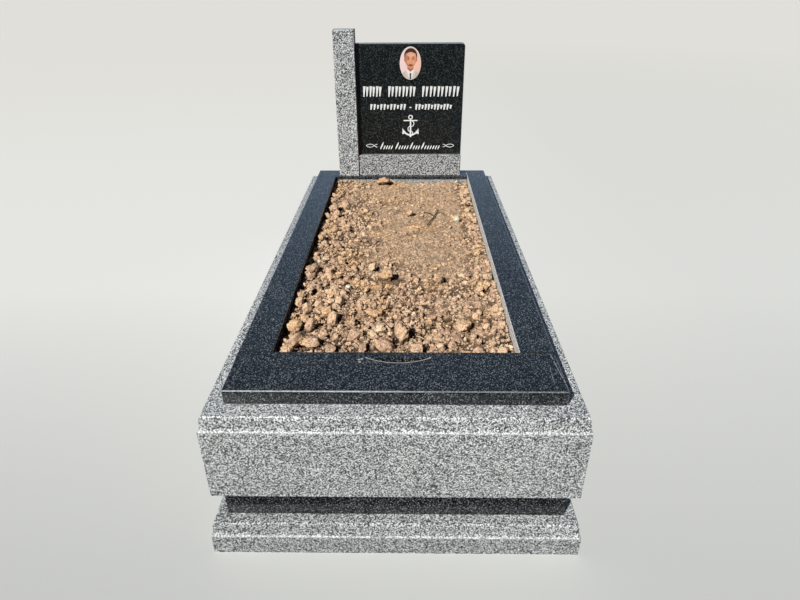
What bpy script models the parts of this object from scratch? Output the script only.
"""A kerbed granite memorial: moulded grey courses, a dark band, a black coping round a bed of soil, and a headstone.

Metres, +Z up. The origin is at the middle of the footprint, on the ground. The foot end faces -Y and the
headstone stands at the +Y end. Left and right are seen from the foot end, so left is -X.
"""

import math

import bmesh
import bpy
from mathutils import Matrix, Vector, noise

# The black coping frame
COPING_WIDTH = 1.000
COPING_LENGTH = 2.165
COPING_THICKNESS = 0.050
FRONT_SLAB_DEPTH = 0.200
SIDE_SLAB_WIDTH = 0.110
HEAD_SLAB_DEPTH = 0.120
HEAD_SLAB_THICKNESS = 0.020
SLAB_ARRIS = 0.003

# The half-moon recess for water in the front slab, its straight side towards the soil
RECESS_WIDTH = 0.200
RECESS_SAGITTA = 0.028
RECESS_DEPTH = 0.012
RECESS_FROM_SOIL_EDGE = 0.030
RECESS_OFFSET = 0.008

# The courses under the coping, from the ground up
LOWER_HEIGHT = 0.123
BAND_HEIGHT = 0.110
UPPER_HEIGHT = 0.304
LEDGE_WIDTH = 0.050
BAND_SET_BACK = 0.030
LOWER_STEP = 0.020

# The moulding along the top of each grey course: a round roll above a hollow cove
ROLL_OUT = 0.007
ROLL_DROP = 0.022
COVE_OUT = 0.008
COVE_DROP = 0.028
ARC_STEPS = 6

# The headstone
HEADSTONE_OFFSET = -0.010
HEADSTONE_SET_BACK = 0.004
PILLAR_WIDTH = 0.114
PILLAR_DEPTH = 0.100
PILLAR_HEIGHT = 0.790
BASE_WIDTH = 0.598
BASE_DEPTH = 0.090
BASE_HEIGHT = 0.120
BASE_SET_BACK = 0.010
PLAQUE_HEIGHT = 0.600
PLAQUE_THICKNESS = 0.050
PLAQUE_SET_BACK = 0.034
PLAQUE_CORNER_RADIUS = 0.016
CORNER_STEPS = 6
STONE_ARRIS = 0.002

# The oval porcelain picture
PORTRAIT_WIDTH = 0.117
PORTRAIT_HEIGHT = 0.169
PORTRAIT_THICKNESS = 0.005
PORTRAIT_EDGE = 0.002
PORTRAIT_TOP_MARGIN = 0.016
PORTRAIT_OFFSET = 0.003
PORTRAIT_SIDES = 48

# The soil: its mean depth under the coping's top, and how far its surface swells and dips
SOIL_DEPTH = 0.038
SOIL_SWELL = 0.010
SOIL_CLOD = 0.006
SOIL_SWELL_SIZE = 0.35
SOIL_CLOD_SIZE = 0.075
SOIL_CELL = 0.040
SOIL_HEADROOM = 0.020

# Clearance between two stones that meet, and the margin that a cutter has past what it cuts
JOINT = 0.0003
CUT_MARGIN = 0.050

# Worked out from the sizes above
UPPER_REACH = LEDGE_WIDTH + ROLL_OUT + COVE_OUT
BAND_REACH = UPPER_REACH - BAND_SET_BACK
LOWER_REACH = UPPER_REACH + LOWER_STEP
LOWER_TOP = LOWER_HEIGHT
BAND_TOP = LOWER_TOP + BAND_HEIGHT
UPPER_TOP = BAND_TOP + UPPER_HEIGHT
COPING_TOP = UPPER_TOP + COPING_THICKNESS
HALF_WIDTH = COPING_WIDTH / 2
FRONT_EDGE = -COPING_LENGTH / 2
BACK_EDGE = COPING_LENGTH / 2
BED_HALF_WIDTH = HALF_WIDTH - SIDE_SLAB_WIDTH
BED_FRONT = FRONT_EDGE + FRONT_SLAB_DEPTH
BED_BACK = BACK_EDGE - HEAD_SLAB_DEPTH
HEADSTONE_FRONT = BED_BACK + HEADSTONE_SET_BACK
BASE_FRONT = HEADSTONE_FRONT + BASE_SET_BACK
PLAQUE_FRONT = HEADSTONE_FRONT + PLAQUE_SET_BACK
HEADSTONE_LEFT = HEADSTONE_OFFSET - (PILLAR_WIDTH + JOINT + BASE_WIDTH) / 2
BASE_LEFT = HEADSTONE_LEFT + PILLAR_WIDTH + JOINT
BASE_RIGHT = BASE_LEFT + BASE_WIDTH
HEADSTONE_FOOT = COPING_TOP + JOINT
PLAQUE_FOOT = HEADSTONE_FOOT + BASE_HEIGHT + JOINT
PLAQUE_TOP = PLAQUE_FOOT + PLAQUE_HEIGHT

for old in list(bpy.data.objects):
    bpy.data.objects.remove(old, do_unlink=True)

memorial = bpy.data.collections.new("kerbed_memorial")
cutters = bpy.data.collections.new("cutters")
bpy.context.scene.collection.children.link(memorial)
bpy.context.scene.collection.children.link(cutters)


def stone(name, colour, roughness):
    """A plain surface with one colour and gloss."""
    material = bpy.data.materials.new(name)
    material.use_nodes = True
    shader = material.node_tree.nodes["Principled BSDF"]
    shader.inputs["Base Color"].default_value = (*colour, 1)
    shader.inputs["Roughness"].default_value = roughness
    shader.inputs["Metallic"].default_value = 0
    return material


grey_granite = stone("grey_granite", (0.40, 0.41, 0.40), 0.55)
black_granite = stone("black_granite", (0.025, 0.030, 0.038), 0.15)
earth = stone("earth", (0.38, 0.25, 0.14), 0.95)
porcelain = stone("porcelain", (0.72, 0.62, 0.58), 0.12)


def finished(name, mesh, material, collection=memorial):
    """Puts a mesh in the scene under its node's name."""
    made = bpy.data.objects.new(name, mesh)
    collection.objects.link(made)
    if material:
        mesh.materials.clear()
        mesh.materials.append(material)
    return made


def block(name, low, high, material, arris=STONE_ARRIS):
    """A squared stone between two corners, its edges eased."""
    low, high = Vector(low), Vector(high)
    bm = bmesh.new()
    bmesh.ops.create_cube(bm, size=1)
    bmesh.ops.scale(bm, vec=high - low, verts=bm.verts)
    bmesh.ops.translate(bm, vec=(low + high) / 2, verts=bm.verts)
    mesh = bpy.data.meshes.new(name)
    bm.to_mesh(mesh)
    bm.free()
    made = finished(name, mesh, material)
    if arris:
        eased = made.modifiers.new("eased_edges", "BEVEL")
        eased.width = arris
        eased.segments = 2
        eased.limit_method = "ANGLE"
    return made


def prism(name, outline, half_length, matrix, material, collection=memorial):
    """A flat outline, drawn as a filled curve, given its length and made a mesh with its place in its points."""
    curve = bpy.data.curves.new(name, "CURVE")
    curve.dimensions = "2D"
    curve.fill_mode = "BOTH"
    curve.extrude = half_length
    line = curve.splines.new("POLY")
    line.points.add(len(outline) - 1)
    for point, (x, y) in zip(line.points, outline):
        point.co = (x, y, 0, 1)
    line.use_cyclic_u = True
    drawn = bpy.data.objects.new(name + "_outline", curve)
    bpy.context.scene.collection.objects.link(drawn)
    bpy.context.view_layer.update()
    mesh = bpy.data.meshes.new_from_object(drawn.evaluated_get(bpy.context.evaluated_depsgraph_get()))
    bpy.data.objects.remove(drawn, do_unlink=True)
    mesh.name = name
    mesh.transform(matrix)
    bm = bmesh.new()
    bm.from_mesh(mesh)
    bmesh.ops.remove_doubles(bm, verts=bm.verts, dist=0.00005)
    bmesh.ops.recalc_face_normals(bm, faces=bm.faces)
    bm.to_mesh(mesh)
    bm.free()
    return finished(name, mesh, material, collection)


def cut(made, cutter):
    """Takes the cutter's shape out of a piece."""
    step = made.modifiers.new("cut_" + cutter.name, "BOOLEAN")
    step.operation = "DIFFERENCE"
    step.solver = "EXACT"
    step.object = cutter


def cutter_prism(name, outline, low, high):
    """An upright cutter with a plan outline, from one height to another."""
    place = Matrix.Translation((0, 0, (low + high) / 2))
    made = prism(name, outline, (high - low) / 2, place, None, cutters)
    made.hide_render = True
    made.display_type = "WIRE"
    return made


def wall_place(direction):
    """Turns an outline's x to the wall's outward side, its y up and its length along the wall."""
    outward = Vector(direction)
    upward = Vector((0, 0, 1))
    along = outward.cross(upward)
    return Matrix((outward, upward, along)).transposed().to_4x4()


def square_profile(inner, outer, foot, top):
    """A plain course's section."""
    return [(inner, foot), (outer, foot), (outer, top), (inner, top)]


def moulded_profile(inner, outer, foot, top):
    """A grey course's section: upright face, sharp edge, hollow cove, round roll, level top."""
    quarter = math.pi / 2
    outline = [(inner, foot), (outer, foot)]
    roll_foot = top - ROLL_DROP
    neck = outer - COVE_OUT
    for step in range(ARC_STEPS + 1):
        turn = quarter * step / ARC_STEPS
        outline.append((outer - COVE_OUT * math.sin(turn), roll_foot - COVE_DROP * math.cos(turn)))
    for step in range(1, ARC_STEPS + 1):
        turn = quarter * step / ARC_STEPS
        outline.append((neck - ROLL_OUT * (1 - math.cos(turn)), roll_foot + ROLL_DROP * math.sin(turn)))
    outline.append((inner, top))
    return outline


def mitre_outline(side, end, from_end_wall):
    """Plan of what a mitre takes off: beyond the diagonal through the coping's corner, as far as the bed's corner,
    and then beyond the bed's own side. side is -1 at the left and 1 at the right, end is -1 at the foot."""
    sign = 1 if from_end_wall else -1
    shift = sign * JOINT / 2
    far = LOWER_REACH + CUT_MARGIN
    corner_x = side * HALF_WIDTH
    corner_y = end * COPING_LENGTH / 2
    bed_x = corner_x - side * SIDE_SLAB_WIDTH
    bed_y = corner_y - end * SIDE_SLAB_WIDTH
    tip = (corner_x + side * (far - shift), corner_y + end * (far + shift))
    root = (bed_x - side * shift, bed_y + end * shift)
    if from_end_wall:
        depth = max(FRONT_SLAB_DEPTH, HEAD_SLAB_DEPTH) + CUT_MARGIN
        past = corner_y - end * depth
        return [tip, root, (root[0], past), (tip[0], past)]
    past = bed_x - side * CUT_MARGIN
    return [tip, root, (past, root[1]), (past, tip[1])]


mitres = {}
for side in (-1, 1):
    for end in (-1, 1):
        for from_end_wall in (True, False):
            kind = "end_wall" if from_end_wall else "side_wall"
            place = ("left" if side < 0 else "right") + "_" + ("foot" if end < 0 else "head")
            mitres[side, end, from_end_wall] = cutter_prism(
                f"mitre_{kind}_{place}", mitre_outline(side, end, from_end_wall), -CUT_MARGIN, COPING_TOP
            )


def course(name, profile, reach, foot, top, material):
    """Four walls that meet in mitres, each with the profile's section."""
    side_inner = BED_HALF_WIDTH
    side_outer = HALF_WIDTH + reach
    end_outer = COPING_LENGTH / 2 + reach
    walls = (
        ("front", (0, -1, 0), -BED_FRONT, end_outer, side_outer),
        ("back", (0, 1, 0), BED_BACK, end_outer, side_outer),
        ("left", (-1, 0, 0), side_inner, side_outer, end_outer),
        ("right", (1, 0, 0), side_inner, side_outer, end_outer),
    )
    for wall, outward, inner, outer, half_length in walls:
        outline = profile(inner, outer, foot, top)
        made = prism(f"{name}_{wall}", outline, half_length, wall_place(outward), material)
        if wall in ("front", "back"):
            end = -1 if wall == "front" else 1
            ends = [mitres[-1, end, True], mitres[1, end, True]]
        else:
            side = -1 if wall == "left" else 1
            ends = [mitres[side, -1, False], mitres[side, 1, False]]
        for cutter in ends:
            cut(made, cutter)


def make_courses():
    course("lower_course", moulded_profile, LOWER_REACH, 0, LOWER_TOP, grey_granite)
    course("band", square_profile, BAND_REACH, LOWER_TOP + JOINT, BAND_TOP, black_granite)
    course("upper_course", moulded_profile, UPPER_REACH, BAND_TOP + JOINT, UPPER_TOP, grey_granite)


def recess_outline():
    """A segment of a circle: the chord lies towards the soil and the bow towards the foot end."""
    half_chord = RECESS_WIDTH / 2
    radius = (half_chord**2 + RECESS_SAGITTA**2) / (2 * RECESS_SAGITTA)
    half_angle = math.asin(half_chord / radius)
    chord_y = BED_FRONT - RECESS_FROM_SOIL_EDGE
    centre_y = chord_y - RECESS_SAGITTA + radius
    steps = 2 * ARC_STEPS
    outline = []
    for step in range(steps + 1):
        turn = half_angle * (2 * step / steps - 1)
        outline.append((RECESS_OFFSET + radius * math.sin(turn), centre_y - radius * math.cos(turn)))
    return outline


def make_coping():
    slab_foot = UPPER_TOP + JOINT
    front = block(
        "coping_front",
        (-HALF_WIDTH, FRONT_EDGE, slab_foot),
        (HALF_WIDTH, BED_FRONT, COPING_TOP),
        black_granite,
        SLAB_ARRIS,
    )
    recess = cutter_prism("recess_cutter", recess_outline(), COPING_TOP - RECESS_DEPTH, COPING_TOP + CUT_MARGIN)
    cut(front, recess)
    for name, side in (("coping_left", -1), ("coping_right", 1)):
        near, far = sorted((side * BED_HALF_WIDTH, side * HALF_WIDTH))
        block(
            name,
            (near, BED_FRONT + JOINT, slab_foot),
            (far, BACK_EDGE, COPING_TOP),
            black_granite,
            SLAB_ARRIS,
        )
    head_side = BED_HALF_WIDTH - JOINT
    head_foot = COPING_TOP - HEAD_SLAB_THICKNESS
    block(
        "head_bed",
        (-head_side, BED_BACK + STONE_ARRIS, slab_foot),
        (head_side, BACK_EDGE, head_foot - JOINT),
        grey_granite,
    )
    block(
        "head_slab",
        (-head_side, BED_BACK, head_foot),
        (head_side, BACK_EDGE, COPING_TOP),
        black_granite,
    )


def make_headstone():
    block(
        "headstone_pillar",
        (HEADSTONE_LEFT, HEADSTONE_FRONT, HEADSTONE_FOOT),
        (HEADSTONE_LEFT + PILLAR_WIDTH, HEADSTONE_FRONT + PILLAR_DEPTH, HEADSTONE_FOOT + PILLAR_HEIGHT),
        grey_granite,
    )
    block(
        "headstone_base",
        (BASE_LEFT, BASE_FRONT, HEADSTONE_FOOT),
        (BASE_RIGHT, BASE_FRONT + BASE_DEPTH, HEADSTONE_FOOT + BASE_HEIGHT),
        grey_granite,
    )
    corner = Vector((BASE_RIGHT - PLAQUE_CORNER_RADIUS, PLAQUE_TOP - PLAQUE_CORNER_RADIUS))
    outline = [(BASE_LEFT, PLAQUE_TOP), (BASE_LEFT, PLAQUE_FOOT), (BASE_RIGHT, PLAQUE_FOOT)]
    for step in range(CORNER_STEPS + 1):
        turn = math.pi / 2 * step / CORNER_STEPS
        outline.append(tuple(corner + PLAQUE_CORNER_RADIUS * Vector((math.cos(turn), math.sin(turn)))))
    upright = Matrix.Rotation(math.pi / 2, 4, "X")
    place = Matrix.Translation((0, PLAQUE_FRONT + PLAQUE_THICKNESS / 2, 0)) @ upright
    plaque = prism("headstone_plaque", outline, PLAQUE_THICKNESS / 2, place, black_granite)
    eased = plaque.modifiers.new("eased_edges", "BEVEL")
    eased.width = STONE_ARRIS
    eased.segments = 2
    eased.limit_method = "ANGLE"


def make_portrait():
    """A flat oval cut from a round disc, its front edge rolled over."""
    bm = bmesh.new()
    bmesh.ops.create_cone(
        bm,
        cap_ends=True,
        segments=PORTRAIT_SIDES,
        radius1=0.5,
        radius2=0.5,
        depth=PORTRAIT_THICKNESS,
        matrix=Matrix.Rotation(math.pi / 2, 4, "X"),
    )
    bmesh.ops.scale(bm, vec=(PORTRAIT_WIDTH, 1, PORTRAIT_HEIGHT), verts=bm.verts)
    front_rim = [edge for edge in bm.edges if all(v.co.y < 0 for v in edge.verts)]
    bmesh.ops.bevel(bm, geom=front_rim, offset=PORTRAIT_EDGE, affect="EDGES", segments=2, profile=0.5, material=-1)
    centre_x = (BASE_LEFT + BASE_RIGHT) / 2 + PORTRAIT_OFFSET
    centre_z = PLAQUE_TOP - PORTRAIT_TOP_MARGIN - PORTRAIT_HEIGHT / 2
    back_y = PLAQUE_FRONT - JOINT
    bmesh.ops.translate(bm, vec=(centre_x, back_y - PORTRAIT_THICKNESS / 2, centre_z), verts=bm.verts)
    mesh = bpy.data.meshes.new("portrait_oval")
    bm.to_mesh(mesh)
    bm.free()
    mesh.shade_smooth()
    mesh.set_sharp_from_angle(angle=math.radians(40))
    finished("portrait_oval", mesh, porcelain)


def soil_height(x, y):
    """How high the earth stands at a place: broad swells with clods on them, always below the coping's top."""
    swell = noise.noise(Vector((x, y, 0)) / SOIL_SWELL_SIZE)
    clods = noise.noise(Vector((x, y, 5)) / SOIL_CLOD_SIZE)
    height = COPING_TOP - SOIL_DEPTH + SOIL_SWELL * swell + SOIL_CLOD * clods
    return min(height, COPING_TOP - SOIL_HEADROOM)


def make_soil():
    half_width = BED_HALF_WIDTH - JOINT
    half_length = (BED_BACK - BED_FRONT) / 2 - JOINT
    middle = (BED_BACK + BED_FRONT) / 2
    bm = bmesh.new()
    bmesh.ops.create_grid(
        bm,
        x_segments=round(2 * half_width / SOIL_CELL),
        y_segments=round(2 * half_length / SOIL_CELL),
        size=1,
        matrix=Matrix.Translation((0, middle, 0)) @ Matrix.Diagonal((half_width, half_length, 1, 1)),
    )
    top = bm.faces[:]
    lowered = bmesh.ops.extrude_face_region(bm, geom=top)
    raised = {v for v in lowered["geom"] if isinstance(v, bmesh.types.BMVert)}
    for v in raised:
        v.co.z = soil_height(v.co.x, v.co.y)
    foot = [face for face in bm.faces if all(v not in raised for v in face.verts)]
    bmesh.ops.dissolve_faces(bm, faces=foot, use_verts=False)
    bmesh.ops.recalc_face_normals(bm, faces=bm.faces)
    mesh = bpy.data.meshes.new("soil_fill")
    bm.to_mesh(mesh)
    bm.free()
    finished("soil_fill", mesh, earth)


make_courses()
make_coping()
make_headstone()
make_portrait()
make_soil()
